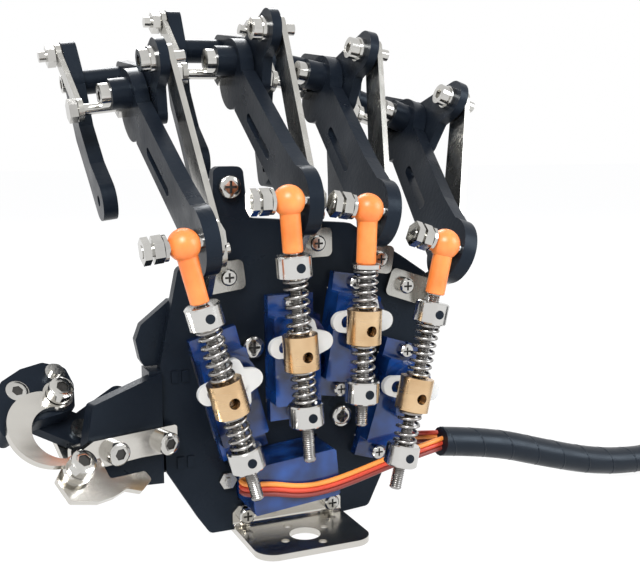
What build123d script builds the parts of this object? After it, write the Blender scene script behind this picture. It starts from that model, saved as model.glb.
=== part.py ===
"""Five fingered robot hand, right hand, seen from its servo side.

A laser cut palm plate stands upright on a bent steel wrist flange. Four servos drive the
fingers through push rods with ball ends, a fifth one lies across the wrist and drives the
thumb. Each finger is a chain of three cut plates, curled by a long link and a short link.

Units are millimetres. X is across the palm, the little finger at +X. Z is up. The servos
face -Y and the fingers curl to +Y. The origin is the centre of the large hole of the wrist
flange, on its underside. The palm is drawn with its front face on Y = 0 and moved by
FLANGE_HOLE_Y at export.
"""
from build123d import *
import os
from math import atan2, cos, degrees, hypot, pi, radians, sin, tan

# Sheet and plate thicknesses
SHEET = 1.5
PALM_T = 3.0
PLATE_T = 3.7
ARM_T = 2.5

# Wrist flange
FLANGE_W = 30.0
FLANGE_DEPTH = 22.4
FLANGE_UP = 6.6
FLANGE_HOLE_Y = 13.0
FLANGE_HOLE_R = 3.9
FLANGE_PCD = 13.0
FLANGE_SMALL_R = 1.1
FLANGE_SCREW_X = 11.7

# Fasteners
M3_R = 1.5
M3_HEAD_R = 2.75
M3_HEAD_H = 2.4
NUT_AF = 5.5
NUT_H = 2.2
SMALL_SCREW_R = 1.0
SMALL_NUT_AF = 4.0
SMALL_NUT_H = 1.6
EAR_HEAD_R = 1.9
EAR_HEAD_H = 1.1
SHEET_HEAD_R = 2.1
PAN_HEAD_H = 1.8
FIT = 0.06
GAP = 0.3

# Micro servo
SERVO_W = 12.2
SERVO_L = 22.8
SERVO_BELOW = 15.9
SERVO_ABOVE = 6.8
SERVO_EAR_L = 32.2
SERVO_EAR_T = 2.5
SERVO_EAR_HOLE = 13.9
SERVO_SHAFT = 5.9
SERVO_TOWER_R = 5.9
SERVO_TOWER_H = 4.0
SERVO_SPLINE_R = 2.3
SERVO_FIT = 0.25

# Servo horn
HORN_ARM = 5.0
HORN_TIP = 9.5
HORN_T = 1.6
HORN_HUB_R = 3.5
HORN_Y = 15.0

# Push rod, measured from the ball down the rod
ROD_Y = 21.0
ROD_R = 1.5
BALL_R = 3.75
SHANK_R = 2.4
COLLAR_R = 4.2
COLLAR_H = 5.4
BLOCK_R = 4.2
BLOCK_H = 8.2
SPRING_R = 3.1
SPRING_WIRE = 0.8
SPRING_PITCH = 2.3
SPRING_STEPS = 8
BALL_STEPS = 14
SOCKET_R = 0.95
SOCKET_DEPTH = 2.0
WASHER_R = 3.6
WASHER_T = 1.0

# Finger linkage in the finger's own plane, from the knuckle pivot: (back, up)
BALL_AT = (-6.0, 0.5)
TIP_JOINT = (43.5, 35.0)
LAST_JOINT = (68.0, 39.5)
LEVER_AT = (28.0, 42.0)
GROUND_AT = (8.0, -4.0)
SHORT_AT = (50.0, 32.0)
SHORT_TOP = (70.0, 47.5)
FINGERTIP = (49.0, 8.0)
LOBE_R = 8.2
HEAD_R = 9.5
SHANK_W = 12.4

# Lateral places of the finger's layers, from the middle of the ball
PLATE_X = 4.2
EAR_X = PLATE_X + PLATE_T + 0.4
ARM_X = PLATE_X + PLATE_T + 0.35
LINK_X = ARM_X + ARM_T + 0.35
LINK_T = 1.5
LONG_EYE = 1.15
SHORT_EYE = 0.4
TIP_X = -6.6
TIP_T = 3.9
SHORT_X = TIP_X - GAP - 1.4
SHORT_T = 1.4

# Each finger: ball x, ball z, finger tilt, rod tilt, servo tilt, shank end, upper collar,
# lower collar, block middle, rod end, side of the knuckle foot
FINGERS = {
    "index": (-31.8, 75.9, -7.1, -15.4, -15.0, 13.5, 14.0, 49.3, 36.5, 62.6, 1),
    "middle": (-7.1, 84.9, -1.1, -4.7, -1.0, 11.9, 12.4, 47.8, 35.3, 62.1, 1),
    "ring": (12.9, 82.5, 9.1, 1.6, 9.0, 13.0, None, 41.2, 28.0, 52.3, 1),
    "little": (34.0, 73.3, 18.7, 12.2, 17.0, 12.5, 14.4, 50.4, 37.6, 61.8, -1),
}

# Knuckle foot on the palm, below the knuckle pivot
FOOT_MID = -11.8
FOOT_H = 7.4

# Thumb
THUMB_TURN = 20.0
THUMB_LEAN = 45.0
THUMB_B = (-55.1, -15.3, 26.5)
THUMB_A = (2.6, 19.1)
THUMB_T1 = (-5.2, 23.1)
THUMB_T0 = (8.0, 12.0)
THUMB_DRIVE = (21.8, 19.0)
THUMB_LINK_T = 1.6
THUMB_BLOCK_T = 4.4
THUMB_CRANK_T = 2.6
THUMB_SERVO = (-2.2, 15.1)
THUMB_SERVO_TILT = 5.8
THUMB_HORN_PIN = (5.3, 6.0)
THUMB_FOOT = (-31.0, -1.5)
THUMB_EYE = 0.6
DRAG_R = 1.0

# Cable
SLEEVE_R = 3.85

SLEEVE_ROUTE = [
    (40.0, -10.4, 19.5), (56.0, -10.0, 17.3), (74.0, -9.0, 11.6), (92.0, -8.0, 6.4),
    (108.0, -6.6, 3.95), (123.0, -5.3, 3.85), (136.5, 1.0, 3.85), (147.0, 11.5, 3.85),
]

os.makedirs("parts", exist_ok=True)
written = []


def save(name, *solids):
    """Write one node, moved to the flange hole."""
    group = Compound(children=[Pos(0, FLANGE_HOLE_Y, 0) * one for one in solids])
    export_step(group, f"parts/{name}.step")
    written.append(name)


def polygon(points, radius):
    """A flat face with straight sides and rounded corners."""
    face = make_face(Polyline(*points, close=True))
    return fillet(face.vertices(), radius)


def tapered(p, rp, q, rq):
    """A flat bar with two round ends."""
    return make_hull((Pos(*p) * Circle(rp) + Pos(*q) * Circle(rq)).edges())


def rod_along_x(x, length, radius, at):
    """A round bar along X in a finger's frame."""
    return Pos(x, at[0], at[1]) * Rot(0, 90, 0) * Cylinder(
        radius, length, align=(Align.CENTER, Align.CENTER, Align.MIN))


def nut_along_x(x, at, height=NUT_H):
    """A hexagon nut along X, in one with its bolt."""
    face = RegularPolygon(NUT_AF / 2, 6, major_radius=False)
    return Pos(x, at[0], at[1]) * Rot(0, 90, 0) * extrude(face, height)


def head_along_x(x, at, radius=M3_HEAD_R, height=M3_HEAD_H):
    """A socket screw head that points to -X."""
    body = Cylinder(radius, height, align=(Align.CENTER, Align.CENTER, Align.MIN))
    socket = extrude(RegularPolygon(1.25, 6, major_radius=False), height / 2)
    return Pos(x, at[0], at[1]) * Rot(0, -90, 0) * (body - Pos(0, 0, height / 2) * socket)


def side_plate(sketch, x, thickness):
    """A plate across X in a finger's frame: sketch x is back, sketch y is up."""
    return Pos(x, 0, 0) * (Plane.YZ * extrude(sketch, thickness))


def front_plate(sketch, y_front, thickness):
    """A plate across Y: sketch x is X, sketch y is Z."""
    return Pos(0, y_front + thickness, 0) * Rot(90, 0, 0) * extrude(sketch, thickness)


def screw_from_front(x, z, y_front, radius, head_r, head_h, length):
    """A pan head screw whose shank points to +Y."""
    shank = Cylinder(radius, length, align=(Align.CENTER, Align.CENTER, Align.MAX))
    head = Cylinder(head_r, head_h, align=(Align.CENTER, Align.CENTER, Align.MIN))
    return Pos(x, y_front, z) * Rot(90, 0, 0) * (shank + head)


# Places worked out from the finger table
def rod_down(tilt):
    """Unit vector down a push rod that leans by tilt."""
    return (-sin(radians(tilt)), -cos(radians(tilt)))


def block_place(finger):
    """Middle of the brass block, in X and Z."""
    x, z, _, tilt, _, _, _, _, block, _, _ = FINGERS[finger]
    down = rod_down(tilt)
    return (x + block * down[0], z + block * down[1])


def hub_place(finger):
    """Servo shaft that drives the block, in X and Z."""
    tilt = radians(FINGERS[finger][3])
    bx, bz = block_place(finger)
    return (bx + HORN_ARM * cos(tilt), bz - HORN_ARM * sin(tilt))


def servo_place(finger):
    """Middle of the servo case, in X and Z."""
    tilt = radians(FINGERS[finger][4])
    hx, hz = hub_place(finger)
    return (hx - SERVO_SHAFT * sin(tilt), hz - SERVO_SHAFT * cos(tilt))


def finger_frame(finger):
    """Frame at the knuckle pivot, X along its pin, leaning with the finger."""
    x, z, tilt = FINGERS[finger][:3]
    return Pos(x, -ROD_Y, z) * Rot(0, tilt, 0) * Pos(0, -BALL_AT[0], -BALL_AT[1])


def rod_frame(finger):
    """Frame at the ball, Z up the push rod."""
    x, z, _, tilt = FINGERS[finger][:4]
    return Pos(x, -ROD_Y, z) * Rot(0, tilt, 0)


thumb_x = Vector(cos(radians(THUMB_TURN)), sin(radians(THUMB_TURN)), 0)
thumb_up = Vector(-sin(radians(THUMB_TURN)) * sin(radians(THUMB_LEAN)),
                  cos(radians(THUMB_TURN)) * sin(radians(THUMB_LEAN)), cos(radians(THUMB_LEAN)))
thumb_plane = Plane(origin=THUMB_B, x_dir=thumb_x, z_dir=thumb_x.cross(thumb_up))
CRANK_N = -THUMB_LINK_T / 2 - GAP - THUMB_BLOCK_T - GAP - THUMB_CRANK_T


# Wrist flange: one folded sheet, polished
def base_bracket():
    lower = Rectangle(FLANGE_W, FLANGE_DEPTH, align=(Align.CENTER, Align.MAX))
    lower = fillet(lower.vertices().group_by(Axis.Y)[0], 5.0)
    lower -= Pos(0, -FLANGE_HOLE_Y) * Circle(FLANGE_HOLE_R)
    lower -= Pos(0, -FLANGE_HOLE_Y) * PolarLocations(FLANGE_PCD / 2, 4, start_angle=20) * Circle(
        FLANGE_SMALL_R)
    sheet = extrude(lower, SHEET)
    up = Rectangle(FLANGE_W, FLANGE_UP, align=(Align.CENTER, Align.MIN))
    up = chamfer(up.vertices().group_by(Axis.Y)[-1], 1.6)
    for x in (-FLANGE_SCREW_X, FLANGE_SCREW_X):
        up -= Pos(x, FLANGE_UP - 2.2) * Circle(M3_R + FIT)
    part = sheet + front_plate(up, -SHEET, SHEET)
    bend = part.edges().filter_by(Axis.X).sort_by_distance((0, -SHEET, SHEET))[0]
    return fillet(bend, 1.0)


PALM_OUTLINE = [
    (-20.5, 0.0), (16.0, 0.0), (24.0, 0.6), (28.0, 9.0), (38.5, 33.0), (45.0, 57.0), (40.5, 63.5),
    (33.0, 68.4), (18.2, 77.4), (-9.5, 79.6), (-10.8, 92.2), (-18.3, 92.2), (-19.0, 70.0),
    (-27.5, 68.0), (-32.4, 44.5), (-31.4, 17.5), (-23.4, 4.2),
]
TENONS = [(-27.6, 41.4), (-26.6, 19.6)]
TENON_H = 3.0
TENON_W = 1.8
TENON_STEP = 2.6


def tenon_spots():
    """Centres of the two pairs of tenons, in X and Z."""
    return [(x + side * TENON_STEP / 2, z) for x, z in TENONS for side in (-1, 1)]


def palm_plate():
    face = polygon(PALM_OUTLINE, 1.8)
    for finger in FINGERS:
        x, z = servo_place(finger)
        tilt = FINGERS[finger][4]
        face -= Pos(x, z) * Rot(0, 0, -tilt) * Rectangle(
            SERVO_W + 2 * SERVO_FIT, SERVO_L + 2 * SERVO_FIT)
        for end in (-SERVO_EAR_HOLE, SERVO_EAR_HOLE):
            face -= Pos(x, z) * Rot(0, 0, -tilt) * Pos(0, end) * Circle(SMALL_SCREW_R)
    face -= Pos(*THUMB_SERVO) * Rot(0, 0, THUMB_SERVO_TILT) * Rectangle(
        SERVO_L + 2 * SERVO_FIT, SERVO_W + 2 * SERVO_FIT)
    for end in (-SERVO_EAR_HOLE, SERVO_EAR_HOLE):
        face -= Pos(*THUMB_SERVO) * Rot(0, 0, THUMB_SERVO_TILT) * Pos(end, 0) * Circle(SMALL_SCREW_R)
    for x, z in tenon_spots():
        face -= Pos(x, z) * Rectangle(TENON_W, TENON_H)
    for x, z, _ in plain_bolts():
        face -= Pos(x, z) * Circle(M3_R + FIT)
    return front_plate(face, 0, PALM_T)


def foot_hole(finger):
    """Screw hole of a knuckle foot in the finger's frame: (across, up)."""
    side = FINGERS[finger][10]
    return (EAR_X + SHEET / 2 + side * 5.6, FOOT_MID)


def foot_spot(finger):
    """The same hole in X and Z of the palm."""
    x, z, tilt = FINGERS[finger][:3]
    across, up = foot_hole(finger)
    up -= BALL_AT[1]
    t = radians(tilt)
    return (x + across * cos(t) + up * sin(t), z - across * sin(t) + up * cos(t))


def plain_bolts():
    """Bolts that go through the palm: x, z and where the head seats."""
    spots = [(15.2, 27.0, 0), (-9.0, 47.4, 0), (-14.6, 87.3, 0)]
    spots += [(-FLANGE_SCREW_X, FLANGE_UP - 2.2, -SHEET), (FLANGE_SCREW_X, FLANGE_UP - 2.2, -SHEET)]
    spots += [(*foot_spot(finger), -SHEET) for finger in FINGERS]
    return spots


def ear_screw(length):
    """Small screw of a servo's ear. Z = 0 is under its head, the core is plain."""
    core = extrude(RegularPolygon(SMALL_SCREW_R - FIT, 6), -length)
    return core + Cylinder(EAR_HEAD_R, EAR_HEAD_H, align=(Align.CENTER, Align.CENTER, Align.MIN))


def palm_bolts():
    """Bolts in one with the nuts behind the palm, and the servo screws."""
    parts = []
    nut = extrude(RegularPolygon(NUT_AF / 2, 6, major_radius=False), NUT_H)
    for x, z, seat in plain_bolts():
        head_r = M3_HEAD_R if seat == 0 else SHEET_HEAD_R
        bolt = screw_from_front(x, z, seat, M3_R, head_r, PAN_HEAD_H, PALM_T - seat + NUT_H + 1.0)
        parts.append(bolt + Pos(x, PALM_T + NUT_H, z) * Rot(90, 0, 0) * nut)
    t = radians(THUMB_SERVO_TILT)
    small_nut = extrude(RegularPolygon(SMALL_NUT_AF / 2, 6, major_radius=False), SMALL_NUT_H)
    stack = PALM_T + SERVO_EAR_T
    for end in (-SERVO_EAR_HOLE, SERVO_EAR_HOLE):
        x, z = THUMB_SERVO[0] + end * cos(t), THUMB_SERVO[1] + end * sin(t)
        screw = ear_screw(stack + SMALL_NUT_H + 0.5) + Pos(0, 0, -stack - SMALL_NUT_H) * small_nut
        parts.append(Pos(x, stack, z) * Rot(-90, 0, 0) * screw)
    for finger in FINGERS:
        x, z = servo_place(finger)
        t = radians(FINGERS[finger][4])
        for end in (-SERVO_EAR_HOLE, SERVO_EAR_HOLE):
            place = Pos(x + end * sin(t), -SERVO_EAR_T, z + end * cos(t))
            parts.append(place * Rot(90, 0, 0) * ear_screw(SERVO_EAR_T + PALM_T))
    return parts


def servo():
    """Servo case with ears; Z is the shaft, the ears' underside is Z = 0."""
    low = Align.MIN
    case = Pos(0, 0, -SERVO_BELOW) * Box(SERVO_W, SERVO_L, SERVO_BELOW + SERVO_ABOVE,
                                         align=(Align.CENTER, Align.CENTER, low))
    case = chamfer(case.edges().filter_by(Axis.Z), 0.5)
    ear_face = Rectangle(SERVO_W, SERVO_EAR_L)
    for end in (-SERVO_EAR_HOLE, SERVO_EAR_HOLE):
        ear_face -= Pos(0, end) * Circle(SMALL_SCREW_R)
        ear_face -= Pos(0, end * 1.12) * Rectangle(0.9, 3.0)
    ears = extrude(ear_face, SERVO_EAR_T)
    tower = Pos(0, SERVO_SHAFT, SERVO_ABOVE) * Cylinder(
        SERVO_TOWER_R, SERVO_TOWER_H, align=(Align.CENTER, Align.CENTER, low))
    bump = Pos(0, -0.6, SERVO_ABOVE) * Cylinder(
        2.6, SERVO_TOWER_H, align=(Align.CENTER, Align.CENTER, low))
    spline = Pos(0, SERVO_SHAFT, SERVO_ABOVE + SERVO_TOWER_H) * Cylinder(
        SERVO_SPLINE_R, 2.0, align=(Align.CENTER, Align.CENTER, low))
    return case + ears + tower + bump + spline


def servo_frame(finger):
    x, z = servo_place(finger)
    return Pos(x, 0, z) * Rot(0, FINGERS[finger][4], 0) * Rot(90, 0, 0)


thumb_servo_frame = (Pos(THUMB_SERVO[0], PALM_T, THUMB_SERVO[1])
                     * Rot(0, -THUMB_SERVO_TILT, 0) * Rot(-90, 0, 0) * Rot(0, 0, 90))


# Knuckle bracket: a folded sheet with a foot on the palm and an ear for two pivots
def knuckle_bracket(finger):
    side = FINGERS[finger][10]
    reach = ROD_Y + BALL_AT[0]
    arm = tapered((0, 0), 4.4, GROUND_AT, 4.2)
    high, low = FOOT_MID + FOOT_H / 2, FOOT_MID - FOOT_H / 2
    arm += make_face(Polyline((0.0, -3.6), (GROUND_AT[0] + 3.0, -6.0), (reach, high), (reach, low),
                              (11.5, low), (0.8, -4.2), close=True))
    arm -= Circle(M3_R + FIT) + Pos(*GROUND_AT) * Circle(M3_R + FIT)
    ear = side_plate(arm, EAR_X, SHEET)
    across = 11.0
    foot_face = Rectangle(across, FOOT_H)
    foot_face = fillet(foot_face.vertices(), 1.5)
    middle = EAR_X + SHEET / 2 + side * (across - SHEET) / 2
    foot_face = Pos(middle, FOOT_MID) * foot_face
    foot_face -= Pos(*foot_hole(finger)) * Circle(M3_R + FIT)
    foot = front_plate(foot_face, reach - SHEET, SHEET)
    return ear + foot


def pivot_pins():
    """Knuckle pin and ground pin of the long link, fixed in the bracket's ear."""
    low_nut = 1.0
    far = EAR_X + SHEET
    pin = rod_along_x(PLATE_X - 1.0, far + low_nut - PLATE_X + 1.0, M3_R, (0, 0))
    pin += rod_along_x(PLATE_X - 2.2, 1.8, M3_HEAD_R, (0, 0)) + nut_along_x(far, (0, 0), low_nut)
    ground = rod_along_x(EAR_X, LINK_X + LINK_T + 1.8 - EAR_X, M3_R, GROUND_AT)
    return [pin, ground + nut_along_x(far, GROUND_AT, low_nut)]


# Finger plates
SPACER_L = 5.0
SPACER_R = 4.0


def proximal_plate():
    """First finger plate, in one with its spacer, the ball's stud and the bolts of two joints."""
    ux, uy = TIP_JOINT[0], TIP_JOINT[1]
    along = Vector(23.7, 16.4, 0).normalized()
    out = Vector(-along.Y, along.X, 0)
    top_a = Vector(8.7, 13.3, 0)
    top_b = top_a + along * 40.0
    low_b = top_b - out * SHANK_W
    head = Pos(ux + 2.3, uy - 3.3) * Circle(HEAD_R)
    shank = make_face(Polyline((-3.0, 6.5), (top_a.X, top_a.Y), (top_b.X - 6, top_b.Y - 4),
                               (low_b.X - 6, low_b.Y - 4), (4.5, -5.0), close=True))
    face = Circle(LOBE_R) + shank + head
    slot_a = Vector(18.5, 10.5, 0)
    slot_b = slot_a + along * 16.0
    face -= tapered((slot_a.X, slot_a.Y), 1.3, (slot_b.X, slot_b.Y), 1.3)
    face -= Circle(M3_R + FIT)
    part = side_plate(face, PLATE_X, PLATE_T)
    head_x = PLATE_X - SPACER_L
    part += rod_along_x(head_x, SPACER_L, SPACER_R, TIP_JOINT) + head_along_x(head_x, TIP_JOINT, 3.1, 2.6)
    part += rod_along_x(PLATE_X + PLATE_T, LINK_X + 1.5 - PLATE_X - PLATE_T, M3_R, TIP_JOINT)
    part += rod_along_x(-9.6, PLATE_X + 9.6, M3_R, BALL_AT) + rod_along_x(-BALL_R - 1.1, 0.8, 3.0, BALL_AT)
    part += nut_along_x(-BALL_R - 3.4, BALL_AT) + nut_along_x(-BALL_R - 5.7, BALL_AT, 1.6)
    post_x = SHORT_X - NUT_H
    part += rod_along_x(post_x, PLATE_X - post_x, M3_R, SHORT_AT)
    part += nut_along_x(post_x - 0.2, SHORT_AT) + nut_along_x(PLATE_X - NUT_H, SHORT_AT)
    return [part]


def middle_plate():
    """Second finger plate, in one with its spacer and the bolts of the last joint and the lever."""
    lever = tapered(LEVER_AT, 5.2, TIP_JOINT, 6.2)
    corner = tapered((35.0, 29.5), 3.4, TIP_JOINT, 6.2)
    web = make_face(Polyline(LEVER_AT, (31.8, 28.6), TIP_JOINT, close=True))
    beam = tapered(TIP_JOINT, 6.2, LAST_JOINT, 4.8)
    face = lever + corner + web + beam - Pos(*TIP_JOINT) * Circle(M3_R + FIT)
    part = side_plate(face, ARM_X, ARM_T)
    far = ARM_X + ARM_T
    spacer_x = TIP_X + TIP_T + GAP
    part += rod_along_x(spacer_x, ARM_X - spacer_x, 3.4, LAST_JOINT)
    part += rod_along_x(TIP_X - 0.5, spacer_x - TIP_X + 0.5, M3_R, LAST_JOINT)
    part += head_along_x(TIP_X - 0.5, LAST_JOINT, 2.4, 1.2) + nut_along_x(far, LAST_JOINT)
    part += rod_along_x(ARM_X - 1.6, 1.6, 3.2, LEVER_AT) + head_along_x(ARM_X - 1.6, LEVER_AT)
    part += rod_along_x(far, LINK_X + LINK_T + NUT_H + 1.0 - far, M3_R, LEVER_AT)
    return [part]


def distal_plate():
    """Fingertip plate, in one with the bolt of the short link and its nut."""
    root = Pos(*LAST_JOINT) * Circle(5.2)
    lever = tapered(LAST_JOINT, 5.2, SHORT_TOP, 3.4)
    knee = (64.5, 26.0)
    shank = tapered(LAST_JOINT, 5.0, knee, 4.2) + tapered(knee, 4.2, (56.0, 15.0), 3.9)
    tip = tapered((56.0, 15.0), 3.9, FINGERTIP, 5.4)
    face = root + lever + shank + tip
    face -= Pos(*LAST_JOINT) * Circle(M3_R + FIT)
    face -= Pos(*FINGERTIP) * Circle(M3_R)
    end = SHORT_X - NUT_H - 2.4
    bolt = rod_along_x(end, TIP_X - end, M3_R, SHORT_TOP) + nut_along_x(SHORT_X - NUT_H - 0.3, SHORT_TOP)
    return [side_plate(face, TIP_X, TIP_T) + bolt]


def long_link():
    """Steel link from the lever to the knuckle bracket, with an eye at each end."""
    face = tapered(LEVER_AT, 3.4, GROUND_AT, M3_R + LONG_EYE + 1.7)
    face -= Pos(*LEVER_AT) * Circle(M3_R + FIT)
    face -= Pos(*GROUND_AT) * Circle(M3_R + LONG_EYE)
    return [side_plate(face, LINK_X, LINK_T)]


def short_link():
    """Steel link from the post on the proximal plate to the top of the distal plate."""
    face = tapered(SHORT_AT, 2.2, SHORT_TOP, 2.2) + Pos(*SHORT_AT) * Circle(3.0) + Pos(*SHORT_TOP) * Circle(3.0)
    face -= Pos(*SHORT_AT) * Circle(M3_R + FIT)
    face -= Pos(*SHORT_TOP) * Circle(M3_R + SHORT_EYE)
    return [side_plate(face, SHORT_X, SHORT_T)]


# Push rod parts, drawn with the ball at the origin and the rod down -Z
def ball_end(finger):
    """Ball with flat sides, its hole along the knuckle, and the shank that takes the rod's end."""
    _, _, tilt, rod_tilt, _, shank = FINGERS[finger][:6]
    arcs = [radians(180 * k / BALL_STEPS) for k in range(BALL_STEPS + 1)]
    profile = Polyline(*[(BALL_R * sin(a), 0, BALL_R * cos(a)) for a in arcs], close=True)
    part = revolve(make_face(profile), Axis.Z)
    part += Pos(0, 0, -shank) * Cylinder(SHANK_R, shank, align=(Align.CENTER, Align.CENTER, Align.MIN))
    turn = Rot(0, tilt - rod_tilt, 0)
    part -= turn * Rot(0, 90, 0) * Cylinder(M3_R + FIT, 4 * BALL_R)
    return [part & turn * Box(2 * BALL_R - 0.5, 8 * BALL_R, 16 * BALL_R)]


def spring(top, bottom):
    """Compression spring from top down to bottom, its wire in short straight runs."""
    turns = max(3, round((bottom - top) / SPRING_PITCH))
    pitch = (bottom - top - SPRING_WIRE) / turns
    middle = SPRING_R - SPRING_WIRE / 2
    step = 2 * pi / SPRING_STEPS
    path = Polyline(*[(middle * cos(step * k), middle * sin(step * k), pitch * k / SPRING_STEPS)
                      for k in range(turns * SPRING_STEPS + 1)])
    section = Plane(origin=path @ 0, x_dir=(1, 0, 0), z_dir=path % 0) * Rectangle(SPRING_WIRE, SPRING_WIRE)
    return Pos(0, 0, -bottom + SPRING_WIRE / 2) * sweep(section, path, transition=Transition.RIGHT)


def collar(top):
    """Clamp collar with the socket of its set screw."""
    ring = Pos(0, 0, -top) * Cylinder(COLLAR_R, COLLAR_H, align=(Align.CENTER, Align.CENTER, Align.MAX))
    socket = Rot(90, 0, 0) * extrude(RegularPolygon(SOCKET_R, 6), COLLAR_R)
    return ring - Pos(0, -COLLAR_R + SOCKET_DEPTH, -top - COLLAR_H / 2) * socket


def push_rod(finger):
    """Threaded rod in one with its clamp collars or washer, and the two springs."""
    _, _, _, _, _, shank, upper, lower, block, end, _ = FINGERS[finger]
    rod = Pos(0, 0, -end) * Cylinder(ROD_R, end - shank, align=(Align.CENTER, Align.CENTER, Align.MIN))
    rod += collar(lower)
    if upper is None:
        top = shank + WASHER_T
        rod += Pos(0, 0, -top) * Cylinder(WASHER_R, WASHER_T, align=(Align.CENTER, Align.CENTER, Align.MIN))
    else:
        top = upper + COLLAR_H
        rod += collar(upper)
    return [rod, spring(top, block - BLOCK_H / 2), spring(block + BLOCK_H / 2, lower)]


def drive_block(finger):
    """Brass block that slides on the rod between the springs, with its drive pin."""
    tilt, block = FINGERS[finger][3], FINGERS[finger][8]
    body = Pos(0, 0, -block) * Cylinder(BLOCK_R, BLOCK_H)
    pin_end = ROD_Y - HORN_Y + HORN_T + 0.3
    body += Pos(0, 0, -block) * Rot(-90, 0, 0) * Cylinder(
        1.0, pin_end, align=(Align.CENTER, Align.CENTER, Align.MIN))
    body -= Pos(0, 0, -block) * Cylinder(ROD_R + FIT, BLOCK_H)
    body -= Pos(0, 0, -block - 0.6) * Rot(90, 0, 0) * Cylinder(
        1.3, BLOCK_R + 1, align=(Align.CENTER, Align.CENTER, Align.MIN))
    return [body]


def horn(arm, tip, pin_slot):
    """White servo horn: Z is the shaft, the long arm points to -X, the arms lie in Z = 0..HORN_T."""
    face = tapered((0, 0), HORN_HUB_R, (-tip + 1.6, 0), 1.6 + 0.9) + tapered((0, 0), HORN_HUB_R, (3.5, 0), 2.4)
    face += tapered((0, 0), 2.6, (0, 4.6), 1.6) + tapered((0, 0), 2.6, (0, -4.6), 1.6)
    face -= tapered((-arm + 0.3, 0), 1.0 + 0.6, (-arm - pin_slot, 0), 1.0 + 0.6)
    arms = extrude(face, HORN_T)
    hub_drop = HORN_Y - HORN_T - SERVO_ABOVE - SERVO_TOWER_H - 0.1
    hub = Cylinder(HORN_HUB_R, hub_drop, align=(Align.CENTER, Align.CENTER, Align.MAX))
    bore = Pos(0, 0, -hub_drop) * Cylinder(SERVO_SPLINE_R + FIT, 2.1, align=(Align.CENTER, Align.CENTER, Align.MIN))
    cap = Pos(0, 0, HORN_T) * Cylinder(1.7, 0.7, align=(Align.CENTER, Align.CENTER, Align.MIN))
    return arms + hub - bore + cap


def finger_horn(finger):
    x, z = hub_place(finger)
    frame = Pos(x, -HORN_Y + HORN_T, z) * Rot(0, FINGERS[finger][3], 0) * Rot(90, 0, 0)
    return frame * horn(HORN_ARM, HORN_TIP, 1.6)


# Thumb
def thumb_solid(sketch, n, thickness):
    """A plate in the thumb's plane from n upwards."""
    return thumb_plane * (Pos(0, 0, n) * extrude(sketch, thickness))


def thumb_pin(at, n, length, radius):
    return thumb_plane * (Pos(at[0], at[1], n) * Cylinder(
        radius, length, align=(Align.CENTER, Align.CENTER, Align.MIN)))


def thumb_nut(at, n, height=NUT_H):
    face = RegularPolygon(NUT_AF / 2, 6, major_radius=False)
    return thumb_plane * (Pos(at[0], at[1], n) * extrude(face, height))


base_frame = Pos(THUMB_FOOT[0], THUMB_FOOT[1], 0) * Rot(0, 0, THUMB_TURN)
BRACKET_SCREWS = [(-16.3, 27.2), (-2.4, 26.6)]
SIDE_X = -32.6
TONGUE_LOW = 16.6
TONGUE_HIGH = 43.6


def box_at(x0, x1, y0, y1, z0, z1):
    """A box between two corners."""
    return Pos((x0 + x1) / 2, (y0 + y1) / 2, (z0 + z1) / 2) * Box(x1 - x0, y1 - y0, z1 - z0)


def thumb_base():
    """Thumb base plate, the post at the palm's edge and the tongue behind it with its tenons."""
    outline = [(2.4, 15.0), (2.4, 45.2), (-2.5, 43.0), (-20.6, 38.6), (-23.0, 27.0), (-21.5, 20.0),
               (-8.0, 16.6)]
    face = polygon(outline, 1.0)
    for x, z in BRACKET_SCREWS:
        face -= Pos(x, z) * Circle(M3_R)
    plate = base_frame * front_plate(face, 0, PALM_T)
    plate = plate & box_at(-80, SIDE_X, -40, 40, 0, 80)
    post = box_at(SIDE_X - 3.0, SIDE_X, -1.6, 2 * PALM_T, TONGUE_LOW, TONGUE_HIGH)
    tongue = box_at(SIDE_X - 3.0, TENONS[0][0] + 2.6, PALM_T, 2 * PALM_T, TONGUE_LOW, TONGUE_HIGH)
    part = plate + post + tongue
    for x, z in BRACKET_SCREWS:
        part -= base_frame * Pos(x, 0, z) * Rot(90, 0, 0) * Cylinder(M3_R, 2 * PALM_T)
    for x, z in tenon_spots():
        part += box_at(x - TENON_W / 2 + 0.05, x + TENON_W / 2 - 0.05, -0.4, PALM_T, z - TENON_H / 2 + 0.05,
                       z + TENON_H / 2 - 0.05)
    return part


WING_LOW = 44.0


def wing_plate():
    """Plate behind the palm that sticks out beside the index finger's servo."""
    return front_plate(polygon([(-25.5, WING_LOW), (-25.5, 60.0), (-29.0, 60.0), (-36.2, 54.3),
                                (-37.6, 50.6), (-36.6, 45.6), (-35.6, WING_LOW)], 0.6), PALM_T, PALM_T)


LIP_N = -3.7


def thumb_bracket():
    """Polished bracket: an upright with two screws and a lip that carries the C link."""
    face = polygon([(-26.6, 26.4), (-26.6, 28.4), (-21.6, 30.8), (1.4, 30.2), (1.4, 23.4), (-9.0, 24.2),
                    (-19.0, 24.2), (-20.0, 26.4)], 0.9)
    for x, z in BRACKET_SCREWS:
        face -= Pos(x, z) * Circle(M3_R + FIT)
    upright = base_frame * front_plate(face, -SHEET, SHEET)
    lip = polygon([(0.9, 5.6), (7.2, 5.6), (7.4, -3.2), (16.5, -3.6), (17.2, -6.0), (13.5, -8.2),
                   (10.2, -6.6), (6.5, -7.6), (2.5, -7.8), (-3.6, -6.0), (-4.8, 0.0)], 0.8)
    lip -= Circle(M3_R + FIT)
    plate = thumb_solid(lip, LIP_N, SHEET)
    front = base_frame * box_at(-60, 40, -40, -0.02, 0, 80)
    stop = base_frame * box_at(-60, 40, -40, 0, 0, 30.0)
    return upright + (plate & front & stop)


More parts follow.
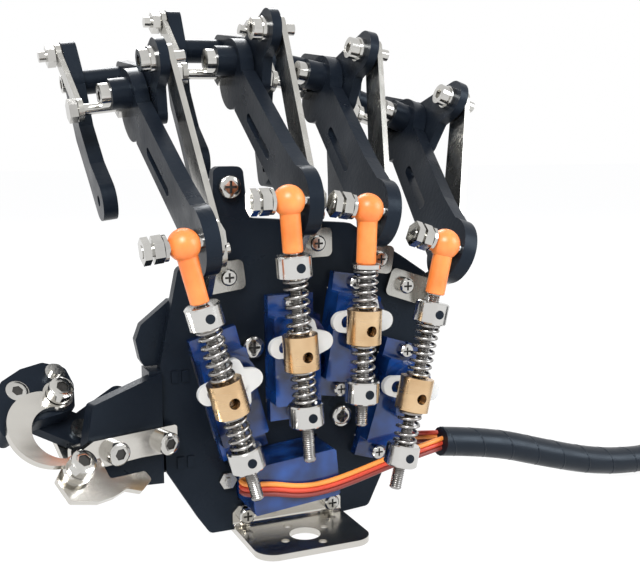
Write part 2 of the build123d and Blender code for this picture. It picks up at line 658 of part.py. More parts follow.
def thumb_stand():
    """Folded sheet behind the base plate that holds the thumb's first pivot."""
    top = polygon([(2.5, -1.0), (2.5, 14.5), (6.0, 16.5), (10.0, 16.5), (13.5, 14.5), (13.5, -1.0)], 1.0)
    top -= Pos(*THUMB_T0) * Circle(M3_R)
    sheet = thumb_solid(top, CRANK_N - GAP - SHEET, SHEET)
    behind = base_frame * box_at(-60, 40, PALM_T, 40, 0, 80)
    along = THUMB_STAND_X
    foot = base_frame * front_plate(polygon([(along - 5.5, 18.5), (along - 5.5, 29.0), (along + 5.5, 29.0),
                                             (along + 5.5, 18.5)], 1.0), PALM_T, SHEET)
    return (sheet & behind) + foot


THUMB_STAND_X = -19.4


def thumb_base_bolts():
    """Screws of the bracket, the pivot bolt of the C link with its spacer, and the crank's pivot."""
    parts = []
    for x, z in BRACKET_SCREWS:
        screw = screw_from_front(0, 0, 0, M3_R - FIT, M3_HEAD_R, M3_HEAD_H, SHEET + PALM_T)
        parts.append(base_frame * Pos(x, -SHEET, z) * screw)
    link_top = THUMB_LINK_T / 2
    lip_top = LIP_N + SHEET
    parts.append(thumb_pin((0, 0), LIP_N - 0.7, link_top + 0.1 - LIP_N + 0.7, M3_R)
                 + thumb_pin((0, 0), lip_top, -link_top - lip_top, 2.8)
                 + thumb_pin((0, 0), LIP_N - 0.7, 0.7, 2.0) + thumb_pin((0, 0), link_top + 0.1, 2.4, 3.0))
    low = CRANK_N - GAP - SHEET
    parts.append(thumb_pin(THUMB_T0, low - NUT_H, THUMB_CRANK_T + GAP + SHEET + NUT_H + 0.1, M3_R)
                 + thumb_pin(THUMB_T0, CRANK_N + THUMB_CRANK_T + 0.1, 0.9, 2.7)
                 + thumb_nut(THUMB_T0, low - NUT_H))
    return parts


def thumb_crank():
    """Bell crank with the bolt of the thumb tip, whose head is sunk in the tip."""
    face = tapered(THUMB_T0, 4.2, THUMB_T1, 4.2) + tapered(THUMB_T0, 4.2, THUMB_DRIVE, 3.0)
    face -= Pos(*THUMB_T0) * Circle(M3_R + FIT)
    face -= Pos(*THUMB_DRIVE) * Circle(DRAG_R + THUMB_EYE)
    crank = thumb_solid(face, CRANK_N, THUMB_CRANK_T)
    low, top = CRANK_N + THUMB_CRANK_T, BLOCK_N + THUMB_BLOCK_T - 0.1
    return crank + thumb_pin(THUMB_T1, low, top - low, M3_R) + thumb_pin(
        THUMB_T1, top - SUNK_H, SUNK_H, SUNK_R)


SUNK_R = 2.7
SUNK_H = 1.2
BLOCK_N = CRANK_N + THUMB_CRANK_T + GAP
BLOCK_OUTLINE = [(-12.6, 11.2), (-13.2, 17.0), (-11.4, 22.6), (-8.0, 26.2), (-2.5, 28.6), (3.4, 29.4),
                 (8.4, 27.0), (8.6, 22.0), (6.2, 15.6), (-4.0, 14.4)]
STUD = (4.7, 25.4)


def thumb_block():
    """Thumb tip, two plates clamped by a stud, and the bolt that the C link's eye runs on."""
    face = polygon(BLOCK_OUTLINE, 1.6) - Pos(*THUMB_T1) * Circle(M3_R + FIT)
    part = thumb_solid(face, BLOCK_N, THUMB_BLOCK_T)
    top = BLOCK_N + THUMB_BLOCK_T
    part -= thumb_pin(THUMB_T1, top - SUNK_H - 0.2, 2 * SUNK_H, SUNK_R + 0.1)
    eye = THUMB_LINK_T / 2 + 0.3
    part += thumb_pin(THUMB_A, top, eye - top, M3_R) + thumb_pin(THUMB_A, eye, M3_HEAD_H, 2.9)
    return part + thumb_pin(STUD, top, 2.6, M3_R) + thumb_pin(STUD, top, 1.4, 2.4)


def thumb_link():
    """C shaped steel link between the thumb tip and the bracket, with an eye at each end."""
    ax, ay = THUMB_A
    low, high = (-3.0, 1.4), (ax - 3.4, ay + 1.6)
    outer = ThreePointArc(high, (-12.2, 9.3), low)
    inner = ThreePointArc((1.6, 3.0), (-7.3, 9.0), (ax - 0.6, ay - 3.4))
    band = make_face(outer + Line(outer @ 1, inner @ 0) + inner + Line(inner @ 1, outer @ 0))
    eye_r = M3_R + THUMB_EYE
    face = band + Pos(ax, ay) * Circle(eye_r + 1.5) + Circle(3.4)
    face -= Circle(M3_R + FIT)
    face -= Pos(ax, ay) * Circle(eye_r)
    return thumb_solid(face, -THUMB_LINK_T / 2, THUMB_LINK_T)


def thumb_hub():
    """Thumb servo shaft in X and Z."""
    t = radians(THUMB_SERVO_TILT)
    return (THUMB_SERVO[0] - SERVO_SHAFT * cos(t), THUMB_SERVO[1] - SERVO_SHAFT * sin(t))


DRAG_AXIS = Vector(0.0627, 1.6492, -0.2014).normalized()


def drag_pin():
    """Where the drag link's bent end goes through the horn's outer face."""
    x, z = thumb_hub()
    return Vector(x + THUMB_HORN_PIN[0], PALM_T + HORN_Y, z + THUMB_HORN_PIN[1])


def thumb_horn():
    """Horn of the thumb servo, its long arm towards the drag link."""
    x, z = thumb_hub()
    reach = hypot(*THUMB_HORN_PIN)
    turn = degrees(atan2(THUMB_HORN_PIN[1], THUMB_HORN_PIN[0]))
    face = tapered((0, 0), HORN_HUB_R, (reach, 0), 2.4) + tapered((0, 0), HORN_HUB_R, (-4.2, 0), 2.4)
    arms = front_plate(face, 0, HORN_T)
    drop = HORN_Y - HORN_T - SERVO_ABOVE - SERVO_TOWER_H - 0.1
    hub = Rot(90, 0, 0) * Cylinder(HORN_HUB_R, drop, align=(Align.CENTER, Align.CENTER, Align.MIN))
    bore = Rot(90, 0, 0) * Pos(0, 0, drop - 2.1) * Cylinder(
        SERVO_SPLINE_R + FIT, 2.1, align=(Align.CENTER, Align.CENTER, Align.MIN))
    cap = Rot(-90, 0, 0) * Pos(0, 0, HORN_T) * Cylinder(1.7, 0.7, align=(Align.CENTER, Align.CENTER, Align.MIN))
    part = Pos(x, PALM_T + HORN_Y - HORN_T, z) * Rot(0, -turn, 0) * (arms + hub - bore + cap)
    hole = Plane(origin=drag_pin(), z_dir=DRAG_AXIS) * Cylinder(DRAG_R + 0.2, 4 * HORN_T)
    return part - hole


def drag_link():
    """Bent wire from the thumb horn to the crank, open in the crank's eye."""
    pin = drag_pin()
    drive = thumb_plane.from_local_coords(Vector(THUMB_DRIVE[0], THUMB_DRIVE[1], CRANK_N + THUMB_CRANK_T / 2))
    normal = thumb_plane.z_dir
    back_y = pin.Y + 2.6
    far = drive - normal * 4.4
    points = [pin - DRAG_AXIS * (HORN_T + 0.4), pin + DRAG_AXIS * 2.6,
              Vector(-22.0, back_y, 28.6), far, drive + normal * 1.0]
    wire = FilletPolyline(*points, radius=1.3)
    section = Plane(origin=wire @ 0, z_dir=wire % 0) * RegularPolygon(DRAG_R, 8)
    return sweep(section, wire)


# Cable
def fitted_radii(route, share=0.45):
    """Fillet radius of each corner, from its shorter run and its turn."""
    radii = []
    for a, b, c in zip(route, route[1:], route[2:]):
        u, v = Vector(*b) - Vector(*a), Vector(*c) - Vector(*b)
        half = radians(u.get_angle(v)) / 2
        radii.append(share * min(u.length, v.length) / tan(half))
    return radii


def cable_section():
    """Cross section of the wound sleeve, eight-sided so that the coil has few faces."""
    return RegularPolygon(SLEEVE_R, 8, major_radius=False, rotation=22.5)


def cable_sleeve():
    """Wound sleeve of the servo wires, up to where it meets the coil."""
    radii = fitted_radii(SLEEVE_ROUTE)
    path = FilletPolyline(*SLEEVE_ROUTE, radius=radii)
    mouth = Plane(origin=path @ 0, z_dir=path % 0)
    sleeve = sweep(mouth * cable_section(), path)
    area = cable_section().area
    print("sleeve length", round(path.length, 1), "radii", [round(r, 1) for r in radii])
    print("sleeve volume over section times length", round(sleeve.volume / (area * path.length), 3))
    sleeve -= mouth * Pos(0, 0, -1) * Cylinder(2.7, 5, align=(Align.CENTER, Align.CENTER, Align.MIN))
    return (sleeve - cable_coil()).solids().sort_by(SortBy.VOLUME)[-1]


COIL_R = 38.5
COIL_SIDES = 28
PLUG_X = -17.7
PLUG_Y = -1.4
PLUG_L = 20.0
LEAD_R = 0.62
LEAD_Y = -13.75


def coil_centre():
    """Middle of the coil. The sleeve runs into it at 45 degrees."""
    x, y, z = SLEEVE_ROUTE[-1]
    return (x + COIL_R * sin(pi / 4), y - COIL_R * cos(pi / 4), z)


def round_ring(radius, low, high, half_flat):
    """A ring with an eight-sided section between two heights, in straight runs."""
    middle = SLEEVE_R
    levels = [(low, half_flat), (low + middle - half_flat, middle),
              (high - middle + half_flat, middle), (high, half_flat)]
    ring = None
    for (z0, w0), (z1, w1) in zip(levels, levels[1:]):
        band = None
        for sign in (1, -1):
            faces = [Pos(0, 0, z) * RegularPolygon(radius + sign * w, COIL_SIDES) for z, w in ((z0, w0), (z1, w1))]
            solid = loft(faces, ruled=True)
            band = solid if band is None else band - solid
        ring = band if ring is None else ring + band
    return ring


def cable_coil():
    """Two turns of the rest of the sleeve and its end inside them, as one closed solid."""
    x, y, z = coil_centre()
    flat = SLEEVE_R * tan(pi / 8)
    low = z - SLEEVE_R
    rings = round_ring(COIL_R, 0, 2 * SLEEVE_R, flat)
    rings += round_ring(COIL_R, 2 * SLEEVE_R - 0.3, 4 * SLEEVE_R - 0.3, flat)
    tail_l = PLUG_Y + (COIL_R**2 - PLUG_X**2)**0.5
    tail = Pos(x + PLUG_X, y + PLUG_Y, z) * Rot(90, 0, 0) * extrude(cable_section(), tail_l)
    return Pos(x, y, low) * rings + tail


def cable_plug():
    """Plain plug that lies inside the coil."""
    x, y, z = coil_centre()
    x, y = x + PLUG_X, y + PLUG_Y
    body = box_at(x - 5.2, x + 5.2, y, y + PLUG_L - 4, 0.05, 2 * z - 0.05)
    body = fillet(body.edges().filter_by(Axis.Y), 1.0)
    tongue = box_at(x - 3.8, x + 3.8, y + PLUG_L - 4, y + PLUG_L, 2.0, 5.6)
    return [body + tongue]


def servo_leads():
    """Three flat lying wires in front of the thumb servo, to the start of the sleeve."""
    out = SLEEVE_ROUTE[0]
    wires = []
    for k in (-1, 0, 1):
        shift = k * 2 * LEAD_R
        left = THUMB_SERVO[0] - SERVO_L / 2
        route = [(left - 0.2, -8.5, 14.8 + shift), (left - 2.0, -8.5, 14.8 + shift),
                 (left - 2.0, LEAD_Y, 15.2 + shift), (-9.6, LEAD_Y, 14.9 + shift), (-1.5, LEAD_Y, 12.9 + shift),
                 (5.2, LEAD_Y, 13.0 + shift), (12.2, LEAD_Y, 14.3 + shift), (23.5, LEAD_Y, 17.2 + shift),
                 (33.0, LEAD_Y + 1.2, 18.6 + shift), (out[0] + 3.0, out[1] - 0.2, out[2] + shift)]
        wire = Polyline(*route)
        section = Plane(origin=wire @ 0, z_dir=wire % 0) * RegularPolygon(LEAD_R - 0.02, 6)
        wires.append(sweep(section, wire, transition=Transition.RIGHT))
    return wires


def build_fingers():
    for finger in FINGERS:
        frame = finger_frame(finger)
        save(f"proximal_plate_{finger}", *[frame * one for one in proximal_plate()])
        save(f"middle_plate_{finger}", *[frame * one for one in middle_plate()])
        save(f"distal_plate_{finger}", *[frame * one for one in distal_plate()])
        save(f"long_link_{finger}", *[frame * one for one in long_link()])
        save(f"short_link_{finger}", *[frame * one for one in short_link()])
        rod = rod_frame(finger)
        save(f"ball_end_{finger}", *[rod * one for one in ball_end(finger)])
        save(f"push_rod_{finger}", *[rod * one for one in push_rod(finger)])
        save(f"drive_block_{finger}", *[rod * one for one in drive_block(finger)])
        save(f"servo_horn_{finger}", finger_horn(finger))


def build_palm():
    save("base_bracket", base_bracket())
    save("palm_plate", palm_plate())
    brackets, pins = [], []
    for finger in FINGERS:
        frame = finger_frame(finger)
        brackets.append(frame * knuckle_bracket(finger))
        pins += [frame * one for one in pivot_pins()]
        save(f"servo_{finger}", servo_frame(finger) * servo())
    save("servo_thumb", thumb_servo_frame * servo())
    save("knuckle_brackets", *brackets)
    save("palm_bolts", *(pins + palm_bolts() + thumb_base_bolts()))


def build_thumb():
    save("thumb_base", thumb_base(), wing_plate())
    save("thumb_bracket", thumb_bracket(), thumb_stand())
    save("thumb_crank", thumb_crank())
    save("thumb_block", thumb_block())
    save("thumb_link", thumb_link())
    save("thumb_horn", thumb_horn())
    save("drag_link", drag_link())


def build_cable():
    save("servo_leads", *servo_leads())
    save("cable_sleeve", cable_sleeve())
    save("cable_coil", cable_coil())
    save("cable_plug", *cable_plug())


build_fingers()
build_palm()
build_thumb()
build_cable()
print(len(written), "nodes")
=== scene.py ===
import math
import bpy
import bmesh
from mathutils import Matrix, Vector


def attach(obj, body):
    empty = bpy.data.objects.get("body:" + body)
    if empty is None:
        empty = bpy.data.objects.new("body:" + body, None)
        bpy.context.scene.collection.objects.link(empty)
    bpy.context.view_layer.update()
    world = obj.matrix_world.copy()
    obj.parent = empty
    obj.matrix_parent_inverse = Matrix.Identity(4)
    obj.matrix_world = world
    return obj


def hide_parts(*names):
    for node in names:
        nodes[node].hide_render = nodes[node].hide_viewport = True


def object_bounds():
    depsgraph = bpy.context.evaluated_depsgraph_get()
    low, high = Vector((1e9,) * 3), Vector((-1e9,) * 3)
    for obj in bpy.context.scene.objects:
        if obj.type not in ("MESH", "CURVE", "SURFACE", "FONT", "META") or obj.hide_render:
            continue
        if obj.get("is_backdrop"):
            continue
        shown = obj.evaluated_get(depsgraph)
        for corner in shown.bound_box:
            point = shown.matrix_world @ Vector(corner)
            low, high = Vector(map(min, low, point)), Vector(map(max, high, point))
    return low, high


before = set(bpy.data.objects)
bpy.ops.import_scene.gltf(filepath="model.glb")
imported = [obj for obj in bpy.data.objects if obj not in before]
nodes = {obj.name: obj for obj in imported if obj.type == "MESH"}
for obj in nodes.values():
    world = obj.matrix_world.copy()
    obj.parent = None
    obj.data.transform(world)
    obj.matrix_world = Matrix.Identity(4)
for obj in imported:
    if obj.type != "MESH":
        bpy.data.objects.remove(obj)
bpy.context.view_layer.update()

# Palm plate with the wing behind it, and thumb base plate. Laser cut sheet with a black finish
# that is satin rather than matt, a little blue in the light, with fine handling marks. Servos,
# brackets and the wrist flange are screwed to them.


def set_inputs(node, values):
    """Set a node's own sockets, by their names."""
    for socket, value in values.items():
        node.inputs[socket].default_value = value


def new_material(name, colour, roughness, metallic=0.0):
    """A Principled material; returns it with its node tree and shader."""
    made = bpy.data.materials.new(name)
    made.use_nodes = True
    tree = made.node_tree
    shader = tree.nodes["Principled BSDF"]
    set_inputs(shader, {"Base Color": (*colour, 1), "Roughness": roughness, "Metallic": metallic})
    return made, tree, shader


def object_noise(tree, scale, detail=3.0, stretch=(1, 1, 1)):
    """Noise on object coordinates, drawn out along the axes where stretch is under 1."""
    where = tree.nodes.new("ShaderNodeTexCoord")
    mapping = tree.nodes.new("ShaderNodeMapping")
    set_inputs(mapping, {"Scale": stretch})
    noise = tree.nodes.new("ShaderNodeTexNoise")
    set_inputs(noise, {"Scale": scale, "Detail": detail})
    tree.links.new(where.outputs["Object"], mapping.inputs["Vector"])
    tree.links.new(mapping.outputs["Vector"], noise.inputs["Vector"])
    return noise


def vary(tree, source, socket, low, high):
    """A ramp from source to socket. Its two ends are (value of source, grey or colour)."""
    ramp = tree.nodes.new("ShaderNodeValToRGB")
    for stop, (position, tone) in zip(ramp.color_ramp.elements, (low, high)):
        stop.position = position
        stop.color = (*(tone if isinstance(tone, tuple) else (tone,) * 3), 1)
    tree.links.new(source.outputs[0], ramp.inputs["Fac"])
    tree.links.new(ramp.outputs["Color"], socket)


def bump(tree, shader, source, strength, distance):
    """Shade a surface as if source raised it, by up to distance in metres."""
    node = tree.nodes.new("ShaderNodeBump")
    set_inputs(node, {"Strength": strength, "Distance": distance})
    tree.links.new(source.outputs[0], node.inputs["Height"])
    tree.links.new(node.outputs["Normal"], shader.inputs["Normal"])


def dress(material, *names):
    """Give CAD nodes this material on every slot."""
    for name in names:
        data = nodes[name].data
        if not data.materials:
            data.materials.append(material)
        for k in range(len(data.materials)):
            data.materials[k] = material


black, tree, shader = new_material("black_plate", (0.006, 0.008, 0.013), roughness=0.3)
set_inputs(shader, {"Specular IOR Level": 0.15, "Specular Tint": (0.74, 0.88, 1.0, 1)})
vary(tree, object_noise(tree, scale=90.0, detail=5.0), shader.inputs["Roughness"],
     low=(0.3, 0.24), high=(0.75, 0.44))
vary(tree, object_noise(tree, scale=35.0, detail=2.0), shader.inputs["Base Color"],
     low=(0.3, (0.004, 0.006, 0.01)), high=(0.8, (0.011, 0.015, 0.022)))
bump(tree, shader, object_noise(tree, scale=900.0, detail=2.0), strength=0.12, distance=0.0004)
dress(black, "palm_plate", "thumb_base")

# Wrist flange, thumb bracket and C link. Folded and cut stainless sheet, polished, so it
# takes dark reflections and shows only faint rolling lines.
polished, tree, shader = new_material("polished_sheet", (0.6, 0.58, 0.54), roughness=0.16,
                                      metallic=1.0)
rolling_lines = object_noise(tree, scale=260.0, stretch=(0.12, 1, 1))
vary(tree, rolling_lines, shader.inputs["Roughness"], low=(0.25, 0.12), high=(0.8, 0.26))
bump(tree, shader, rolling_lines, strength=0.06, distance=0.0003)
dress(polished, "base_bracket", "thumb_bracket", "thumb_link")

# Knuckle brackets, long and short links. The same sheet left as rolled, brighter and less
# smooth than the polished one. The brackets are folded and screwed to the palm plate, and the
# links turn on the bolts and pins of the finger plates.
FINGERS = ("index", "middle", "ring", "little")
rolled, tree, shader = new_material("rolled_sheet", (0.46, 0.45, 0.42), roughness=0.25,
                                    metallic=1.0)
rolling_lines = object_noise(tree, scale=420.0, stretch=(1, 1, 0.1))
vary(tree, rolling_lines, shader.inputs["Roughness"], low=(0.25, 0.16), high=(0.8, 0.34))
bump(tree, shader, rolling_lines, strength=0.1, distance=0.0003)
dress(rolled, "knuckle_brackets")
for finger in FINGERS:
    dress(rolled, f"long_link_{finger}", f"short_link_{finger}")

# Palm bolts with their nuts, and the thumb's drag link. Zinc plated steel with fine scratches.
# The bolts go through the palm plate, and the drag link is a bent wire behind it. The finger
# plates' fasteners have the same finish.
zinc, tree, shader = new_material("zinc_steel", (0.5, 0.49, 0.47), roughness=0.2, metallic=1.0)
vary(tree, object_noise(tree, scale=1500.0, detail=2.0), shader.inputs["Roughness"],
     low=(0.3, 0.08), high=(0.75, 0.2))
vary(tree, object_noise(tree, scale=120.0), shader.inputs["Base Color"],
     low=(0.3, (0.46, 0.45, 0.43)), high=(0.7, (0.6, 0.59, 0.56)))
dress(zinc, "palm_bolts", "drag_link")

# Finger and thumb plates. Cut from the palm's black sheet, with black spacers between them and
# steel bolts, nuts and studs that stand out from their faces. A plate and its fasteners are one
# solid here, so where a face lies tells its finish.

# Each finger's ball: x and z in metres, and the finger's lean to the side in degrees.
KNUCKLES = {
    "index": (-0.0318, 0.0759, -7.1),
    "middle": (-0.0071, 0.0849, -1.1),
    "ring": (0.0129, 0.0825, 9.1),
    "little": (0.0340, 0.0733, 18.7),
}
BALL_Y = -0.008
# The two faces of each plate, along the knuckle pin from the ball.
FINGER_LAYERS = {"proximal_plate": (0.0042, 0.0079), "middle_plate": (0.00825, 0.01075),
                 "distal_plate": (-0.0066, -0.0027)}
# Each plate's spacer: how far behind and above the knuckle pin, radius, and where it starts
# along the pin.
SPACERS = {"proximal_plate": (0.0435, 0.0350, 0.0041, -0.0008),
           "middle_plate": (0.0680, 0.0395, 0.0035, -0.0024)}
PIN_BEHIND_BALL = 0.006
PIN_BELOW_BALL = 0.0005
SKIN = 0.00002


def dress_layer(name, origin, across, low, high, spacer=None):
    """Black between a plate's two faces and on its spacer, zinc on the fasteners."""
    data = nodes[name].data
    data.materials.clear()
    data.materials.append(black)
    data.materials.append(zinc)
    up = across.cross(Vector((0, 1, 0)))
    for face in data.polygons:
        place = face.center - origin
        height = place.dot(across)
        plain = low - SKIN <= height <= high + SKIN
        if spacer is not None:
            behind, above, radius, start = spacer
            from_axis = math.hypot(place.y - PIN_BEHIND_BALL - behind,
                                   place.dot(up) + PIN_BELOW_BALL - above)
            plain = plain or (start - SKIN <= height <= low and from_axis < radius)
        face.material_index = 0 if plain else 1


for finger, (ball_x, ball_z, tilt) in KNUCKLES.items():
    lean = math.radians(tilt)
    pin_line = Vector((math.cos(lean), 0, -math.sin(lean)))
    for plate, (low, high) in FINGER_LAYERS.items():
        dress_layer(f"{plate}_{finger}", Vector((ball_x, BALL_Y, ball_z)), pin_line, low, high,
                    SPACERS.get(plate))
THUMB_TURN = math.radians(20)
THUMB_LEAN = math.radians(45)
THUMB_PIVOT = Vector((-0.0551, -0.0023, 0.0265))
THUMB_LAYERS = {"thumb_block": (-0.0055, -0.0011), "thumb_crank": (-0.0084, -0.0058)}
thumb_across = Vector((math.cos(THUMB_TURN), math.sin(THUMB_TURN), 0))
thumb_up = Vector((-math.sin(THUMB_TURN) * math.sin(THUMB_LEAN),
                   math.cos(THUMB_TURN) * math.sin(THUMB_LEAN), math.cos(THUMB_LEAN)))
thumb_normal = thumb_across.cross(thumb_up)
for plate, (low, high) in THUMB_LAYERS.items():
    dress_layer(plate, THUMB_PIVOT, thumb_normal, low, high)

# Screw heads. Cold formed steel, zinc plated, with domed tops and recesses: a cross in the
# screws of the palm and the servos' ears, a hexagon in the thumb's. The recesses' walls and
# floors take a dark steel that is painted shade. Each top lies on the plain core of its screw.
recess_shade_paint, tree, shader = new_material("recess_painted_shade", (0.07, 0.068, 0.065), roughness=0.45,
                                        metallic=1.0)
vary(tree, object_noise(tree, scale=900.0), shader.inputs["Roughness"],
     low=(0.3, 0.36), high=(0.7, 0.55))
HEAD_SIDES = 32
# The dome's two steps: how far each draws in, and its share of the rise.
DOME_STEPS = ((0.96, 0.5), (0.82, 0.5))
RECESS_SHARE = 0.8
# The recesses' outlines, in parts of the head's radius.
REACH, ARM = 0.55, 0.12
CROSS = ((REACH, ARM), (ARM, ARM), (ARM, REACH), (-ARM, REACH), (-ARM, ARM), (-REACH, ARM),
         (-REACH, -ARM), (-ARM, -ARM), (-ARM, -REACH), (ARM, -REACH), (ARM, -ARM), (REACH, -ARM))
HEXAGON_REACH = 0.52
HEXAGON = tuple((HEXAGON_REACH * math.cos(math.radians(corner)),
                 HEXAGON_REACH * math.sin(math.radians(corner))) for corner in range(0, 360, 60))


def of_kind(items, kind):
    """The items of a bmesh operator's result that are of this kind."""
    return [item for item in items if isinstance(item, kind)]


def head_top(radius, rise, outline, matrix):
    """A domed head top with a recess of this outline, made with Z outwards and put in place."""
    shape = bmesh.new()
    bmesh.ops.create_circle(shape, segments=HEAD_SIDES, radius=radius)
    bottom = loop = list(shape.edges)
    for scale, lift in DOME_STEPS:
        made = bmesh.ops.extrude_edge_only(shape, edges=loop)["geom"]
        verts = of_kind(made, bmesh.types.BMVert)
        loop = of_kind(made, bmesh.types.BMEdge)
        bmesh.ops.scale(shape, vec=(scale, scale, 1), verts=verts)
        bmesh.ops.translate(shape, vec=(0, 0, rise * lift), verts=verts)
    corners = [shape.verts.new((radius * x, radius * y, rise)) for x, y in outline]
    recess = [shape.edges.new(pair) for pair in zip(corners, corners[1:] + corners[:1])]
    bmesh.ops.triangle_fill(shape, edges=loop + recess, use_beauty=True)
    made = bmesh.ops.extrude_edge_only(shape, edges=recess)["geom"]
    walls = of_kind(made, bmesh.types.BMFace)
    bmesh.ops.translate(shape, vec=(0, 0, -RECESS_SHARE * rise),
                        verts=of_kind(made, bmesh.types.BMVert))
    floors = bmesh.ops.contextual_create(shape, geom=of_kind(made, bmesh.types.BMEdge))["faces"]
    bmesh.ops.contextual_create(shape, geom=bottom)
    bmesh.ops.recalc_face_normals(shape, faces=shape.faces)
    # The recess's walls and floor take the second material, dark steel as painted shade.
    for face in walls + floors:
        face.material_index = 1
    bmesh.ops.transform(shape, matrix=matrix, verts=shape.verts)
    return shape


def joined(target, other):
    """Add other's mesh to target."""
    carrier = bpy.data.meshes.new("carrier")
    other.to_mesh(carrier)
    other.free()
    target.from_mesh(carrier)
    bpy.data.meshes.remove(carrier)


def add_piece(shape, name, materials, body, crease=35):
    """Finish a bmesh as a piece that rides on a body, smooth up to the crease in degrees."""
    for face in shape.faces:
        face.smooth = True
    for edge in shape.edges:
        edge.smooth = edge.calc_face_angle(0) < math.radians(crease)
    mesh = bpy.data.meshes.new(name)
    shape.to_mesh(mesh)
    shape.free()
    piece = bpy.data.objects.new(name, mesh)
    bpy.context.collection.objects.link(piece)
    for material in materials:
        mesh.materials.append(material)
    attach(piece, body)
    return piece


# The palm's screws: y of the plate under the head, radius, and the screws' x and z.
PALM_SCREWS = (
    (0.0130, 0.00275, ((0.0152, 0.0270), (-0.0090, 0.0474), (-0.0146, 0.0873))),
    (0.0115, 0.0021, ((-0.0117, 0.0044), (0.0117, 0.0044), (-0.01574, 0.06551),
                      (0.00778, 0.07288), (0.02542, 0.06804), (0.03332, 0.06054))),
)
PALM_CORE = 0.00175
PALM_RISE = 0.0006
EAR_SCREWS = ((-0.01216, 0.02291), (-0.01936, 0.04977), (0.00112, 0.03033), (0.00064, 0.05813),
              (0.01402, 0.03482), (0.01837, 0.06227), (0.02515, 0.01656), (0.03328, 0.04314))
EAR_RADIUS = 0.0019
EAR_RISE = 0.0005
EAR_FACE = 0.0094
BRACKET_SCREWS = ((-0.04498, 0.00226, 0.0272), (-0.03192, 0.00701, 0.0266))
BRACKET_RADIUS = 0.00275
BRACKET_RISE = 0.0004
facing_front = Matrix.Rotation(math.pi / 2, 4, "X")
heads = bmesh.new()
for plate_face, radius, places in PALM_SCREWS:
    for x, z in places:
        joined(heads, head_top(radius, PALM_RISE, CROSS, Matrix.Translation(
            (x, plate_face - PALM_CORE, z)) @ facing_front))
for x, z in EAR_SCREWS:
    joined(heads, head_top(EAR_RADIUS, EAR_RISE, CROSS,
                           Matrix.Translation((x, EAR_FACE, z)) @ facing_front))
facing_bracket = Matrix.Rotation(THUMB_TURN, 4, "Z") @ facing_front
for place in BRACKET_SCREWS:
    joined(heads, head_top(BRACKET_RADIUS, BRACKET_RISE, HEXAGON,
                           Matrix.Translation(place) @ facing_bracket))
add_piece(heads, "screw_heads", (zinc, recess_shade_paint), "palm")
thumb_frame = Matrix((thumb_across, thumb_up, thumb_normal)).transposed()
# The crank's head is sunk in its plate: across, up and off the plate from the thumb's pivot.
SUNK_HEAD = Vector((-0.0052, 0.0231, -0.00121))
# The heads of the thumb's links: body, place, radius and rise.
LINK_HEADS = (("palm", (-0.0543, -0.00449, 0.02883), 0.003, 0.0005),
              ("thumb_tip", (-0.05643, 0.00895, 0.04248), 0.0029, 0.0005),
              ("thumb_crank", THUMB_PIVOT + thumb_frame @ SUNK_HEAD, 0.0026, 0.0001))
for body, place, radius, rise in LINK_HEADS:
    top = head_top(radius, rise, HEXAGON, Matrix.Translation(place) @ thumb_frame.to_4x4())
    add_piece(top, f"{body}_link_head", (zinc, recess_shade_paint), body)

# Servo cases. Moulded in translucent blue polycarbonate, darker where the gears and the motor
# show through. Two screws through the ears hold each case to its plate.
case, tree, shader = new_material("blue_case", (0.006, 0.03, 0.15), roughness=0.14)
set_inputs(shader, {"Coat Weight": 0.5, "Coat Roughness": 0.08, "Subsurface Weight": 0.12,
                    "Subsurface Radius": (0.001, 0.002, 0.006)})
vary(tree, object_noise(tree, scale=120.0, detail=2.0), shader.inputs["Base Color"],
     low=(0.35, (0.002, 0.009, 0.045)), high=(0.7, (0.007, 0.055, 0.24)))
dress(case, *[f"servo_{finger}" for finger in FINGERS], "servo_thumb")

# Servo horns. Moulded in white nylon, a little translucent, and pressed on the servos' shafts.
# The slots of the finger horns take the drive blocks' pins, and the thumb's pulls its drag link.
nylon, tree, shader = new_material("white_nylon", (0.62, 0.62, 0.6), roughness=0.42)
set_inputs(shader, {"Subsurface Weight": 0.15, "Subsurface Radius": (0.002, 0.002, 0.0015)})
vary(tree, object_noise(tree, scale=300.0), shader.inputs["Roughness"],
     low=(0.3, 0.34), high=(0.7, 0.52))
dress(nylon, *[f"servo_horn_{finger}" for finger in FINGERS], "thumb_horn")

# Ball ends. Orange moulded sockets with flat sides and a soft sheen, pressed over the steel
# balls of the fingers. The shank below takes the top of the push rod.
orange, tree, shader = new_material("orange_plastic", (0.8, 0.22, 0.04), roughness=0.36)
set_inputs(shader, {"Subsurface Weight": 0.1, "Subsurface Radius": (0.004, 0.0015, 0.0006)})
vary(tree, object_noise(tree, scale=160.0, detail=4.0), shader.inputs["Base Color"],
     low=(0.3, (0.72, 0.17, 0.03)), high=(0.75, (0.88, 0.28, 0.07)))
bump(tree, shader, object_noise(tree, scale=800.0, detail=2.0), strength=0.15, distance=0.0003)
# Each rod: its tilt in degrees, then how far below the ball the shank ends, the upper and the
# lower collar start, the drive block has its middle and the rod ends.
RODS = {
    "index": (-15.4, 0.0135, 0.0140, 0.0493, 0.0365, 0.0626),
    "middle": (-4.7, 0.0119, 0.0124, 0.0478, 0.0353, 0.0621),
    "ring": (1.6, 0.0130, None, 0.0412, 0.0280, 0.0523),
    "little": (12.2, 0.0125, 0.0144, 0.0504, 0.0376, 0.0618),
}
BALL_RADIUS = 0.00375
BALL_HALF = 0.0035
BALL_RINGS = 20
SHANK_RADIUS = 0.0024
SHANK_CHAMFER = 0.0003
BALL_SIDES = 40


